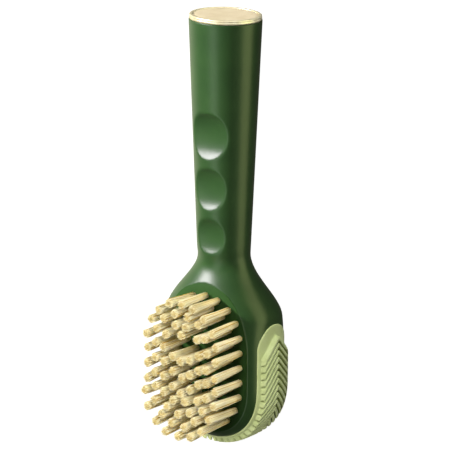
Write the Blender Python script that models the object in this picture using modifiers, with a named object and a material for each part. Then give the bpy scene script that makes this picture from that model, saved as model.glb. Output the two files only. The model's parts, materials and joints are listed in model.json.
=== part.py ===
# Long-handled shoe brush: hollow moulded handle and head, tuft plate with five
# sets of bristle tufts, ribbed rubber side scrubber and a three-piece end cap.
# Metres, +Z up. The brush lies on its back: X across, Y up the handle, Z out of
# the bristle side. Heights above the head's end are called "up", and depths
# towards the bristle tips, measured from the grip's axis, are called "out".

import bpy
import bmesh
import math
from mathutils import Matrix, Vector

mm = 0.001

# Overall
brush_length = 204.9 * mm
back_out = 16.0 * mm            # grip axis to the flat back that the brush lies on
fit_gap = 0.3 * mm              # clearance between pieces that seat on each other
cut_over = 2.0 * mm             # how far a cutter runs past the surface it opens

# Head
head_half_width = 28.2 * mm
head_end_up = 2.8 * mm          # the moulding's end, above the scrubber's outermost ribs
head_centre_up = 31.6 * mm      # where the head's sides start to round into its end
toe_square = 2.25                # superellipse exponent of the head's end in plan
front_crown = 17.7 * mm         # the head's crown before its flat front is cut
back_crown = 17.4 * mm
pad_out = 14.1 * mm             # the flat front that carries the tuft plate
head_square = 3.8               # superellipse exponent of the head's section
grip_square = 2.0
square_power = 1.5

# Neck and grip
neck_up = 91.2 * mm
flare_length = 28.6 * mm
square_length = 40.0 * mm
front_square_up = 84.0 * mm     # where the front starts to square off, below the back
front_square_length = 33.0 * mm
neck_half_width = 12.85 * mm
neck_half_depth = 11.8 * mm
grip_half_width = 17.5 * mm    # at the cap
grip_half_depth = 16.0 * mm
lip_up = 86.8 * mm              # where the front starts to rise to the pad's lip
lip_length = 18.0 * mm
grip_wall = 3.2 * mm
end_round = 0.6 * mm            # softened rim at the cap end

# Finger dimples, from the cap towards the head
dimple_ups = (149.1 * mm, 123.7 * mm, 100.7 * mm)
dimple_widths = (19.3 * mm, 17.0 * mm, 15.2 * mm)
dimple_heights = (21.9 * mm, 20.0 * mm, 17.6 * mm)
dimple_depths = (3.6 * mm, 3.1 * mm, 2.7 * mm)
dimple_lift = 3.0 * mm          # scoop centre above the grip's surface
dimple_wall = 2.2 * mm
widest_dimple_share = 0.95      # of the grip's width at the dimple
deepest_cut_share = 0.98

# Tuft plate and the bowl behind it
pad_top_up = 79.1 * mm
pad_shoulder_up = 42.9 * mm     # where the pad's straight sides start to close in
pad_half_width = 24.4 * mm
pad_top_square = 2.3
rim_width = 0.6 * mm
plate_thickness = 3.0 * mm
ledge_width = 2.4 * mm
bowl_floor = 3.2 * mm
bowl_top_inset = 6.0 * mm
collar_depth = 3.0 * mm
collar_wall = 1.8 * mm

# Bristle tufts
tuft_field_up = 41.75 * mm
ring_straight = 23.7 * mm       # distance between the end centres of every ring
tuft_margin = 4.5 * mm          # pad edge to the outer ring of tuft axes
tuft_pitch = 7.2 * mm
tuft_radius = 1.05 * mm         # strand axes round a tuft's axis, at the plate
tuft_splay = 0.6 * mm           # how much wider that circle is at the tips
strand_radius = 0.45 * mm
strand_tip_radius = 0.38 * mm
bristle_length = 20.6 * mm
strands_round_tuft = 5
strip_width = 3.2 * mm
strip_depth = 1.4 * mm
missing_tuft_across = 0.6 * mm  # the patch of the pad where the tufts are left out
missing_tuft_up = 52.4 * mm
missing_tuft_reach = 6.0 * mm

# Rubber side scrubber
band_half_height = 11.5 * mm
band_centre_out = -1.0 * mm
band_top_up = 60.8 * mm
band_seat_depth = 1.0 * mm
band_proud = 0.5 * mm
rib_height = 2.3 * mm
rib_base = 2.6 * mm
rib_crest = 1.6 * mm
rib_pitch = 3.41 * mm
rib_half_span = 10.5 * mm
rib_centre_out = -1.8 * mm      # the line of the chevrons' points
first_rib_down = 6.4 * mm       # first chevron's point, below the tongue's top
rib_middle_gap = 0.8 * mm       # between the two sides' ribs at the head's end
rib_slope = 1.0                 # run down the band for each step out from its middle
rail_inset = 0.1 * mm           # the band's far edge to the rail that the ribs run into
rail_width = 1.1 * mm
rail_low = 0.1 * mm             # the rail's top below the ribs' crests

# End cap
cap_height = 3.0 * mm
ring_width = 1.6 * mm
ring_inset = 0.2 * mm
ring_round = 0.6 * mm
ring_facet_share = 0.3          # of the ring's rounding, where its facets meet
flange_thickness = 1.1 * mm
disc_thickness = 0.9 * mm
disc_low = 0.35 * mm            # the disc's face below the ring's top
plug_skirt = 9.0 * mm
plug_wall = 1.8 * mm
bead_height = 0.5 * mm
bead_width = 1.6 * mm
bead_down = 5.0 * mm
core_bottom_gap = 6.0 * mm      # solid neck between the grip's core and the head

grip_steps = 6
flare_steps = 12
head_steps = 4
fan_steps = 12
ring_count = 4
strip_sides = 10                # steps round each end of a ring
row_sides = 6
toe_table_steps = 90
pad_steps = 16
core_sides = 28
half_section_steps = 16
band_steps = 20
tongue_steps = 6
rib_steps = 6
rail_steps = 16

handle_end_up = brush_length - cap_height
outer_ring_radius = pad_half_width - tuft_margin
toe_share = (head_centre_up - head_end_up) / head_half_width
band_outer_proud = band_proud + rib_height


def smooth_step(t):
    t = min(1.0, max(0.0, t))
    return t * t * (3.0 - 2.0 * t)


def place(across, up, out):
    """The brush's own across, up and out, as a point of the model."""
    return Vector((across, up - brush_length / 2.0, out + back_out))


def section_sizes(up):
    """Half width, front and back depth, and both depths' squareness, at a height."""
    if up > neck_up:
        share = (up - neck_up) / (handle_end_up - neck_up)
        half_width = neck_half_width + (grip_half_width - neck_half_width) * share
        half_depth = neck_half_depth + (grip_half_depth - neck_half_depth) * share
        return half_width, half_depth, half_depth, (grip_square, grip_square)
    flare = smooth_step((neck_up - up) / flare_length)
    front_squared = smooth_step((front_square_up - up) / front_square_length) ** square_power
    back_squared = smooth_step((neck_up - up) / square_length) ** square_power
    squares = [grip_square + (head_square - grip_square) * share for share in (front_squared, back_squared)]
    half_width = neck_half_width + (head_half_width - neck_half_width) * flare
    lip = smooth_step((lip_up - up) / lip_length)
    front = neck_half_depth + (front_crown - neck_half_depth) * lip
    back = neck_half_depth + (back_crown - neck_half_depth) * flare
    return half_width, front, back, squares


def half_section(sizes, inset=0.0):
    """Across and out pairs from the front centre round the side to the back centre."""
    half_width, front, back, squares = sizes
    points = []
    for step in range(half_section_steps + 1):
        angle = math.pi * (0.5 - step / half_section_steps)
        depth = (front if angle > 0.0 else back) - inset
        square = squares[0] if angle > 0.0 else squares[1]
        across = (half_width - inset) * abs(math.cos(angle)) ** (2.0 / square)
        out = depth * math.copysign(abs(math.sin(angle)) ** (2.0 / square), angle)
        if step in (0, half_section_steps):
            across = 0.0
        points.append((across, out))
    return points


def side_half_width(up, out):
    """The body's half width at a height and a depth."""
    half_width, front, back, squares = section_sizes(up)
    depth, square = (front, squares[0]) if out > 0.0 else (back, squares[1])
    return half_width * (1.0 - min(1.0, abs(out) / depth) ** square) ** (1.0 / square)


def toe_shape(turn):
    """How far across and how far down a point on the head's end is, for a reach of one."""
    across = math.copysign(abs(math.cos(turn)) ** (2.0 / toe_square), math.cos(turn))
    return across, math.sin(turn) ** (2.0 / toe_square)


def toe_point(reach, turn, out, proud=0.0):
    """A point on the head's end: turn 0 is its side and a quarter turn is its middle."""
    across, down = toe_shape(turn)
    if abs(turn - 0.5 * math.pi) < 1e-9:
        across = 0.0
    return place((reach + proud) * across, head_centre_up - (reach * toe_share + proud) * down, out)


def toe_lengths():
    """Turns and the distances round the head's end that they stand for."""
    table = [(0.0, 0.0)]
    last = toe_point(head_half_width, 0.0, 0.0)
    for step in range(1, toe_table_steps + 1):
        turn = 0.5 * math.pi * step / toe_table_steps
        point = toe_point(head_half_width, turn, 0.0)
        table.append((table[-1][0] + (point - last).length, turn))
        last = point
    return table


def toe_turn(distance):
    """The turn at a distance round the head's end, going on past its middle."""
    total = toe_table[-1][0]
    if distance > total:
        return math.pi - toe_turn(2.0 * total - distance)
    for (low, first), (high, second) in zip(toe_table, toe_table[1:]):
        if distance <= high:
            return first + (second - first) * (distance - low) / (high - low)
    return toe_table[-1][1]


def body_stations():
    """Each station is a list of points, from the cap end down and round the head's end."""
    stations = []
    ups = [handle_end_up]
    for step in range(grip_steps + 1):
        ups.append(handle_end_up - end_round + (neck_up - handle_end_up + end_round) * step / grip_steps)
    for step in range(1, flare_steps + 1):
        ups.append(neck_up - flare_length * step / flare_steps)
    straight_top = neck_up - flare_length
    for step in range(1, head_steps + 1):
        ups.append(straight_top + (head_centre_up - straight_top) * step / head_steps)
    for number, up in enumerate(ups):
        inset = end_round if number == 0 else 0.0
        section = half_section(section_sizes(up), inset)
        stations.append([place(across, up, out) for across, out in section])
    section = half_section(section_sizes(head_centre_up))
    for step in range(1, fan_steps + 1):
        turn = 0.5 * math.pi * step / fan_steps
        stations.append([toe_point(across, turn, out) for across, out in section])
    return stations


toe_table = toe_lengths()


def new_object(name, mesh_builder, collection):
    mesh = bpy.data.meshes.new(name)
    bm = bmesh.new()
    mesh_builder(bm)
    bmesh.ops.remove_doubles(bm, verts=bm.verts, dist=0.00001)
    bmesh.ops.recalc_face_normals(bm, faces=bm.faces)
    bm.to_mesh(mesh)
    bm.free()
    piece = bpy.data.objects.new(name, mesh)
    collection.objects.link(piece)
    return piece


def add_loft(bm, stations, cap_first=False):
    """Skin a list of stations that all have the same number of points."""
    rows = [[bm.verts.new(point) for point in station] for station in stations]
    for upper, lower in zip(rows, rows[1:]):
        for i in range(len(upper) - 1):
            bm.faces.new((upper[i], lower[i], lower[i + 1], upper[i + 1]))
    if cap_first:
        bm.faces.new(rows[0])


def add_prism(bm, outline, low_out, high_out):
    """A flat outline of across and up pairs, raised from one depth to another."""
    low = [bm.verts.new(place(across, up, low_out)) for across, up in outline]
    base = bm.faces.new(low)
    raised = bmesh.ops.extrude_face_region(bm, geom=[base])
    high = [item for item in raised["geom"] if isinstance(item, bmesh.types.BMVert)]
    bmesh.ops.translate(bm, verts=high, vec=(0.0, 0.0, high_out - low_out))


def prism(name, outline, low_out, high_out, collection):
    return new_object(name, lambda bm: add_prism(bm, outline, low_out, high_out), collection)


def as_cutter(piece):
    piece.hide_render = True
    piece.display_type = "WIRE"
    return piece


def boolean(piece, tool, operation, name):
    modifier = piece.modifiers.new(name, "BOOLEAN")
    modifier.operation = operation
    modifier.solver = "EXACT"
    modifier.object = tool


def mirror(piece, bisect=False):
    modifier = piece.modifiers.new("both_sides", "MIRROR")
    modifier.use_axis = (True, False, False)
    modifier.use_bisect_axis = (bisect, False, False)
    modifier.merge_threshold = 0.000002


def material(name, colour, roughness, metallic=0.0):
    made = bpy.data.materials.new(name)
    made.use_nodes = True
    shader = made.node_tree.nodes["Principled BSDF"]
    shader.inputs["Base Color"].default_value = (*colour, 1.0)
    shader.inputs["Roughness"].default_value = roughness
    shader.inputs["Metallic"].default_value = metallic
    made.diffuse_color = (*colour, 1.0)
    return made


def finish(piece, look):
    piece.data.materials.append(look)
    piece.data.shade_smooth()
    piece.data.set_sharp_from_angle(angle=math.radians(35.0))
    return piece


def pad_outline(inset, top_inset=0.0):
    """The pad's outline: round at the head's end, straight sides, closing to the neck."""
    radius = pad_half_width - inset
    toe = pad_half_width * toe_share - inset
    reach = pad_top_up - pad_shoulder_up - inset - top_inset
    points = []
    for step in range(pad_steps + 1):
        across, down = toe_shape(math.pi * step / pad_steps)
        points.append((-radius * across, head_centre_up - toe * down))
    for step in range(pad_steps + 1):
        turn = math.pi * step / pad_steps
        across = math.copysign(abs(math.cos(turn)) ** (2.0 / pad_top_square), math.cos(turn))
        rise = abs(math.sin(turn)) ** (2.0 / pad_top_square)
        points.append((radius * across, pad_shoulder_up + reach * rise))
    return points


def ellipse(half_width, half_depth, count):
    turns = [2.0 * math.pi * step / count for step in range(count)]
    return [(half_width * math.cos(turn), half_depth * math.sin(turn)) for turn in turns]


def oval_solid(name, profile, collection, count=40):
    """An oval solid on the grip's axis from rows of half width, half depth and height.

    The first and last rows are closed flat, or to the row before where it is open."""
    def build(bm):
        rows = []
        for half_width, half_depth, up in profile:
            ring = ellipse(half_width, half_depth, count)
            rows.append([bm.verts.new(place(across, up, out)) for across, out in ring])
        for lower, upper in zip(rows, rows[1:]):
            for i in range(count):
                j = (i + 1) % count
                bm.faces.new((lower[i], lower[j], upper[j], upper[i]))
        bm.faces.new(rows[0])
        bm.faces.new(rows[-1])
    return new_object(name, build, collection)


def oval_ring(name, profile, collection, count=40):
    """A closed profile of half width, half depth and height, carried round the oval."""
    def build(bm):
        rows = []
        for half_width, half_depth, up in profile:
            ring = ellipse(half_width, half_depth, count)
            rows.append([bm.verts.new(place(across, up, out)) for across, out in ring])
        for lower, upper in zip(rows, rows[1:] + rows[:1]):
            for i in range(count):
                j = (i + 1) % count
                bm.faces.new((lower[i], lower[j], upper[j], upper[i]))
    return new_object(name, build, collection)


# The grip, neck and head: one hollow moulding

def dimple_cutter(number, grow, collection):
    """An ellipsoid that opens a scoop of the stated width, height and depth."""
    up = dimple_ups[number]
    half_width, front, _, _ = section_sizes(up)
    depth = dimple_depths[number]
    radius_out = depth + dimple_lift
    half_span = min(dimple_widths[number] / 2.0, widest_dimple_share * half_width)
    drop = front * (1.0 - math.sqrt(1.0 - (half_span / half_width) ** 2))
    level = min(deepest_cut_share, (dimple_lift + drop) / radius_out)
    radius_across = half_span / math.sqrt(1.0 - level ** 2)
    radius_up = dimple_heights[number] / 2.0 / math.sqrt(1.0 - (dimple_lift / radius_out) ** 2)
    centre = place(0.0, up, front + dimple_lift)
    size = Matrix.Diagonal((radius_across + grow, radius_up + grow, radius_out + grow, 1.0))

    def build(bm):
        bmesh.ops.create_uvsphere(bm, u_segments=28, v_segments=18, radius=1.0,
                                  matrix=Matrix.Translation(centre) @ size)
    name = "dimple_cut" if grow == 0.0 else "dimple_wall_form"
    return as_cutter(new_object(f"{name}_{number + 1}", build, collection))


def core_cutter(collection):
    """The grip's core: the outside less the wall, from the open end to above the neck."""
    ups = [handle_end_up + cut_over]
    low = neck_up + core_bottom_gap
    for step in range(grip_steps + 1):
        ups.append(handle_end_up + (low - handle_end_up) * step / grip_steps)

    def build(bm):
        rows = []
        for up in ups:
            half_width, half_depth, _, _ = section_sizes(min(up, handle_end_up))
            ring = ellipse(half_width - grip_wall, half_depth - grip_wall, core_sides)
            rows.append([bm.verts.new(place(across, up, out)) for across, out in ring])
        for upper, lower in zip(rows, rows[1:]):
            for i in range(core_sides):
                j = (i + 1) % core_sides
                bm.faces.new((upper[i], upper[j], lower[j], lower[i]))
        bm.faces.new(rows[0])
        bm.faces.new(rows[-1])
    core = as_cutter(new_object("core_cut", build, collection))
    for number in range(len(dimple_ups)):
        boolean(core, dimple_cutter(number, dimple_wall, collection), "DIFFERENCE", f"wall_{number + 1}")
    return core


def bore_row(up, outward):
    """The core's half width and depth at a height, let out or drawn in."""
    half_width, half_depth, _, _ = section_sizes(min(up, handle_end_up))
    return half_width - grip_wall + outward, half_depth - grip_wall + outward, up


def bead_groove(collection):
    """The shallow groove round the core that the plug's bead snaps into."""
    middle = handle_end_up - bead_down
    half = bead_width / 2.0 + fit_gap
    profile = [bore_row(middle - half, -2.0 * bead_height), bore_row(middle - half, bead_height),
               bore_row(middle + half, bead_height), bore_row(middle + half, -2.0 * bead_height)]
    return as_cutter(oval_ring("bead_groove_cut", profile, collection))


def box_cutter(name, low, high, collection):
    def build(bm):
        middle = (low + high) / 2.0
        size = high - low
        bmesh.ops.create_cube(bm, size=1.0, matrix=Matrix.Translation(middle) @ Matrix.Diagonal((*size, 1.0)))
    return as_cutter(new_object(name, build, collection))


def make_handle_shell(parts, cutters, look):
    stations = body_stations()
    shell = new_object("handle_shell", lambda bm: add_loft(bm, stations, cap_first=True), parts)
    mirror(shell)
    wide = head_half_width + band_outer_proud
    pad_cut = box_cutter("pad_cut", place(-wide, -cut_over, pad_out),
                         place(wide, neck_up, front_crown + cut_over), cutters)
    back_cut = box_cutter("back_cut", place(-wide, -cut_over, -back_crown - cut_over),
                          place(wide, neck_up, -back_out), cutters)
    boolean(shell, pad_cut, "DIFFERENCE", "flat_front")
    boolean(shell, back_cut, "DIFFERENCE", "flat_back")
    seat_out = pad_out - plate_thickness - fit_gap
    seat = as_cutter(prism("plate_seat_cut", pad_outline(rim_width), seat_out, pad_out + cut_over, cutters))
    boolean(shell, seat, "DIFFERENCE", "plate_seat")
    bowl = as_cutter(prism("bowl_cut", pad_outline(rim_width + ledge_width, bowl_top_inset),
                           bowl_floor - back_out, seat_out + cut_over, cutters))
    boolean(shell, bowl, "DIFFERENCE", "bowl")
    boolean(shell, core_cutter(cutters), "DIFFERENCE", "core")
    boolean(shell, bead_groove(cutters), "DIFFERENCE", "bead_groove")
    for number in range(len(dimple_ups)):
        boolean(shell, dimple_cutter(number, 0.0, cutters), "DIFFERENCE", f"dimple_{number + 1}")
    recess = band_solid("band_recess_cut", -band_seat_depth - fit_gap, band_outer_proud + cut_over,
                        fit_gap, cutters)
    boolean(shell, as_cutter(recess), "DIFFERENCE", "scrubber_recess")
    return finish(shell, look)


# The rubber scrubber on the head's side

def band_length():
    return band_top_up - head_centre_up + toe_table[-1][0]


def band_point(down, out, proud):
    """A point on the head's side, a distance down the band from its tongue's top."""
    straight = band_top_up - head_centre_up
    if down <= straight:
        up = band_top_up - down
        return place(side_half_width(up, out) + proud, up, out)
    reach = side_half_width(head_centre_up, out)
    return toe_point(reach, toe_turn(down - straight), out, proud)


def band_solid(name, inner, outer, grow, collection):
    """Half of the band, with a round tongue, from one height off the side to another."""
    half_height = band_half_height + grow
    turns = [0.5 * math.pi * step / tongue_steps for step in range(1, tongue_steps + 1)]
    downs = [half_height * (1.0 - math.cos(turn)) - grow for turn in turns]
    rest = band_length() + cut_over - downs[-1]
    downs += [downs[-1] + rest * step / band_steps for step in range(1, band_steps + 1)]
    stations = []
    for down in downs:
        from_centre = max(0.0, half_height - grow - down)
        half = math.sqrt(half_height ** 2 - from_centre ** 2)
        outs = [band_centre_out + half * (step / 3.0 - 1.0) for step in range(7)]
        loop = [band_point(down, out, outer) for out in outs]
        loop += [band_point(down, out, inner) for out in reversed(outs)]
        stations.append(loop + loop[:1])

    def build(bm):
        add_loft(bm, stations)
        bmesh.ops.remove_doubles(bm, verts=bm.verts, dist=0.00001)
        bmesh.ops.holes_fill(bm, edges=[edge for edge in bm.edges if edge.is_boundary])
    made = new_object(name, build, collection)
    mirror(made, bisect=True)
    return made


def add_rib(bm, point_down, side):
    """One chevron: a tapered bar that runs down and out from its point on both sides."""
    spans = [rib_half_span * (2.0 * step / rib_steps - 1.0) for step in range(rib_steps + 1)]
    foot = band_proud - band_seat_depth / 2.0
    rows = []
    for span in spans:
        out = rib_centre_out + span
        middle = point_down + abs(span) * rib_slope
        corners = ((-rib_base / 2.0, foot), (-rib_crest / 2.0, band_outer_proud),
                   (rib_crest / 2.0, band_outer_proud), (rib_base / 2.0, foot))
        points = [band_point(middle + shift, out, proud) for shift, proud in corners]
        rows.append([bm.verts.new((point.x * side, point.y, point.z)) for point in points])
    for first, second in zip(rows, rows[1:]):
        for i in range(4):
            j = (i + 1) % 4
            bm.faces.new((first[i], first[j], second[j], second[i]))
    bm.faces.new(rows[0])
    bm.faces.new(rows[-1])


def rib_side(side, name, cutters):
    """The chevrons of one side, stopped just short of the middle of the head's end."""
    def build(bm):
        point_down = first_rib_down
        while point_down < band_length() - rib_crest:
            add_rib(bm, point_down, side)
            point_down += rib_pitch
    ribs = as_cutter(new_object(f"ribs_{name}", build, cutters))
    wide = head_half_width + band_outer_proud
    corners = (-wide * side, rib_middle_gap / 2.0 * side)
    far_side = box_cutter(f"beyond_{name}_cut", place(min(corners), -wide, -back_crown),
                          place(max(corners), wide, front_crown), cutters)
    boolean(ribs, far_side, "DIFFERENCE", "stop_at_middle")
    return ribs


def far_rail(cutters):
    """The raised rail along the band's far edge, from the first rib's end to the middle."""
    far_edge = band_centre_out - band_half_height + rail_inset
    foot = band_proud - band_seat_depth / 2.0
    crest = band_outer_proud - rail_low
    near_edge = far_edge + rail_width
    corners = ((far_edge, foot), (far_edge, crest), (near_edge, crest), (near_edge, foot))
    start = first_rib_down + rib_half_span * rib_slope
    run = band_length() + cut_over - start
    stations = []
    for step in range(rail_steps + 1):
        down = start + run * step / rail_steps
        loop = [band_point(down, out, proud) for out, proud in corners]
        stations.append(loop + loop[:1])

    def build(bm):
        add_loft(bm, stations)
        bmesh.ops.remove_doubles(bm, verts=bm.verts, dist=0.00001)
        bmesh.ops.holes_fill(bm, edges=[edge for edge in bm.edges if edge.is_boundary])
    rail = as_cutter(new_object("far_rail", build, cutters))
    mirror(rail, bisect=True)
    return rail


def make_scrubber(parts, cutters, look):
    band = band_solid("side_scrubber", -band_seat_depth, band_proud, 0.0, parts)
    boolean(band, far_rail(cutters), "UNION", "far_rail")
    boolean(band, rib_side(1.0, "right", cutters), "UNION", "ribs_right")
    boolean(band, rib_side(-1.0, "left", cutters), "UNION", "ribs_left")
    return finish(band, look)


# The tuft plate and the bristles set in it

def stadium(radius, straight, count_round):
    """The outline of a ring of tufts, or of one side of its backing strip."""
    points = []
    for step in range(count_round + 1):
        turn = math.pi * step / count_round
        points.append((radius * math.cos(turn), tuft_field_up + straight / 2.0 + radius * math.sin(turn)))
    for step in range(count_round + 1):
        turn = math.pi + math.pi * step / count_round
        points.append((radius * math.cos(turn), tuft_field_up - straight / 2.0 + radius * math.sin(turn)))
    return points


def ring_radii():
    return [outer_ring_radius * (1.0 - number / ring_count) for number in range(ring_count)]


def add_ring_strip(bm, radius, half_width, low_out, high_out):
    outer = stadium(radius + half_width, ring_straight, strip_sides)
    inner = stadium(radius - half_width, ring_straight, strip_sides)
    rows = []
    for outline, out in ((outer, low_out), (outer, high_out), (inner, high_out), (inner, low_out)):
        rows.append([bm.verts.new(place(across, up, out)) for across, up in outline])
    count = len(outer)
    for first, second in zip(rows, rows[1:] + rows[:1]):
        for i in range(count):
            j = (i + 1) % count
            bm.faces.new((first[i], first[j], second[j], second[i]))


def ring_places(radius, start_share):
    """Tuft places at equal steps along a stadium ring, from its lowest point round."""
    straight = ring_straight
    arc = math.pi * radius
    total = 2.0 * (straight + arc)
    count = round(total / tuft_pitch)
    places = []
    for number in range(count):
        along = total * ((number + start_share) / count)
        if along < arc / 2.0:
            turn = along / radius
            spot = (radius * math.sin(turn), -straight / 2.0 - radius * math.cos(turn))
        elif along < arc / 2.0 + straight:
            spot = (radius, -straight / 2.0 + along - arc / 2.0)
        elif along < 1.5 * arc + straight:
            turn = (along - arc / 2.0 - straight) / radius
            spot = (radius * math.cos(turn), straight / 2.0 + radius * math.sin(turn))
        elif along < 1.5 * arc + 2.0 * straight:
            spot = (-radius, straight / 2.0 - (along - 1.5 * arc - straight))
        else:
            turn = (along - 1.5 * arc - 2.0 * straight) / radius
            spot = (-radius * math.cos(turn), -straight / 2.0 - radius * math.sin(turn))
        places.append((spot[0], spot[1] + tuft_field_up))
    return places


def row_places():
    count = round(ring_straight / tuft_pitch) + 1
    step = ring_straight / (count - 1)
    return [(0.0, tuft_field_up - ring_straight / 2.0 + step * number) for number in range(count)]


def keep_tuft(spot):
    gap = math.hypot(spot[0] - missing_tuft_across, spot[1] - missing_tuft_up)
    return gap > missing_tuft_reach


def add_tuft(bm, spot, turn_share):
    """One strand on the tuft's axis and the rest round it, leaning slightly outwards."""
    foot_out = pad_out - strip_depth / 2.0
    tip_out = pad_out + bristle_length
    length = tip_out - foot_out
    for number in range(strands_round_tuft + 1):
        if number == strands_round_tuft:
            start = place(spot[0], spot[1], foot_out)
            lean = Vector((0.0, 0.0, length))
        else:
            turn = 2.0 * math.pi * (number + turn_share) / strands_round_tuft
            side = Vector((math.cos(turn), math.sin(turn), 0.0))
            start = place(spot[0], spot[1], foot_out) + side * tuft_radius
            lean = Vector((0.0, 0.0, length)) + side * tuft_splay
        axis = lean.to_track_quat("Z", "Y").to_matrix().to_4x4()
        bmesh.ops.create_cone(bm, cap_ends=True, segments=3, radius1=strand_radius,
                              radius2=strand_tip_radius, depth=lean.length,
                              matrix=Matrix.Translation(start + lean / 2.0) @ axis)


def make_bristles(name, places, strip_builder, parts, cutters, look):
    backing = new_object(name, strip_builder, parts)

    def build(bm):
        for number, spot in enumerate(places):
            if keep_tuft(spot):
                add_tuft(bm, spot, 0.37 * number)
    strands = as_cutter(new_object(f"{name}_strands", build, cutters))
    boolean(backing, strands, "UNION", "strands")
    return finish(backing, look)


def make_all_bristles(parts, cutters, look):
    names = ("bristle_ring_outer", "bristle_ring_second", "bristle_ring_third", "bristle_ring_inner")
    low = pad_out - strip_depth
    for number, (name, radius) in enumerate(zip(names, ring_radii())):
        start_share = 0.5 if number % 2 else 0.0

        def strip(bm, radius=radius):
            add_ring_strip(bm, radius, strip_width / 2.0, low, pad_out)
        make_bristles(name, ring_places(radius, start_share), strip, parts, cutters, look)
    row = stadium(strip_width / 2.0, ring_straight, row_sides)
    make_bristles("bristle_centre_row", row_places(), lambda bm: add_prism(bm, row, low, pad_out),
                  parts, cutters, look)


def make_tuft_plate(parts, cutters, look):
    plate = prism("tuft_plate", pad_outline(rim_width + fit_gap), pad_out - plate_thickness, pad_out, parts)
    inset = rim_width + ledge_width + fit_gap
    collar = as_cutter(prism("plate_collar", pad_outline(inset, bowl_top_inset),
                             pad_out - plate_thickness - collar_depth, pad_out - plate_thickness / 2.0,
                             cutters))
    hollow = as_cutter(prism("collar_hollow_cut", pad_outline(inset + collar_wall, bowl_top_inset),
                             pad_out - plate_thickness - collar_depth - cut_over,
                             pad_out - plate_thickness, cutters))
    boolean(plate, collar, "UNION", "collar")
    boolean(plate, hollow, "DIFFERENCE", "collar_hollow")
    low = pad_out - strip_depth - fit_gap
    high = pad_out + cut_over
    for number, radius in enumerate(ring_radii()):
        def groove(bm, radius=radius):
            add_ring_strip(bm, radius, strip_width / 2.0 + fit_gap, low, high)
        groove_cut = as_cutter(new_object(f"tuft_groove_cut_{number + 1}", groove, cutters))
        boolean(plate, groove_cut, "DIFFERENCE", f"tuft_groove_{number + 1}")
    row = stadium(strip_width / 2.0 + fit_gap, ring_straight, row_sides)
    centre = as_cutter(prism("centre_groove_cut", row, low, high, cutters))
    boolean(plate, centre, "DIFFERENCE", "centre_groove")
    return finish(plate, look)


# The end cap: plug, metallised ring and disc

def make_cap(parts, cutters, plug_look, ring_look, disc_look):
    half_width, half_depth, _, _ = section_sizes(handle_end_up)
    ring_wide = half_width - ring_inset
    ring_deep = half_depth - ring_inset
    facet = ring_facet_share * ring_round
    flange_wide = ring_wide - ring_width - fit_gap
    flange_deep = ring_deep - ring_width - fit_gap
    flange_low = handle_end_up + fit_gap
    flange_high = flange_low + flange_thickness
    skirt_low = handle_end_up - plug_skirt
    bead_mid = handle_end_up - bead_down
    bead_half = bead_width / 2.0
    proud = bead_height - fit_gap
    profile = [
        bore_row(flange_low, -fit_gap - plug_wall),
        bore_row(skirt_low, -fit_gap - plug_wall),
        bore_row(skirt_low, -fit_gap),
        bore_row(bead_mid - bead_half, -fit_gap),
        bore_row(bead_mid - bead_half / 2.0, proud),
        bore_row(bead_mid + bead_half / 2.0, proud),
        bore_row(bead_mid + bead_half, -fit_gap),
        bore_row(flange_low, -fit_gap),
        (flange_wide, flange_deep, flange_low),
        (flange_wide, flange_deep, flange_high),
    ]
    finish(oval_solid("cap_plug", profile, parts), plug_look)
    ring_profile = [
        (ring_wide - ring_width, ring_deep - ring_width, flange_low),
        (ring_wide, ring_deep, flange_low),
        (ring_wide, ring_deep, brush_length - ring_round),
        (ring_wide - facet, ring_deep - facet, brush_length - facet),
        (ring_wide - ring_round, ring_deep - ring_round, brush_length),
        (ring_wide - ring_width + facet, ring_deep - ring_width + facet, brush_length),
        (ring_wide - ring_width, ring_deep - ring_width, brush_length - facet),
    ]
    finish(oval_ring("cap_ring", ring_profile, parts), ring_look)
    disc_high = brush_length - disc_low
    disc_profile = [
        (flange_wide, flange_deep, disc_high - disc_thickness),
        (flange_wide, flange_deep, disc_high - facet),
        (flange_wide - facet, flange_deep - facet, disc_high),
    ]
    finish(oval_solid("cap_disc", disc_profile, parts), disc_look)


def main():
    for old in list(bpy.data.objects):
        bpy.data.objects.remove(old, do_unlink=True)
    parts = bpy.data.collections.new("shoe_brush")
    cutters = bpy.data.collections.new("cutters")
    bpy.context.scene.collection.children.link(parts)
    bpy.context.scene.collection.children.link(cutters)

    green = material("green_abs", (0.028, 0.101, 0.030), 0.32)
    plate_green = material("plate_green", (0.030, 0.105, 0.032), 0.40)
    rubber = material("sage_rubber", (0.42, 0.50, 0.24), 0.60)
    bristle = material("bristle_cream", (0.72, 0.62, 0.36), 0.50)
    plug = material("plug_plastic", (0.028, 0.101, 0.030), 0.40)
    gold = material("metallised_gold", (0.70, 0.58, 0.32), 0.20, 1.0)
    cream = material("cream_disc", (0.80, 0.72, 0.50), 0.35)

    make_handle_shell(parts, cutters, green)
    make_tuft_plate(parts, cutters, plate_green)
    make_all_bristles(parts, cutters, bristle)
    make_scrubber(parts, cutters, rubber)
    make_cap(parts, cutters, plug, gold, cream)


main()
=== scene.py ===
import json
import math

import bmesh
import bpy
import numpy as np
from mathutils import Matrix, Vector

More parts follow.
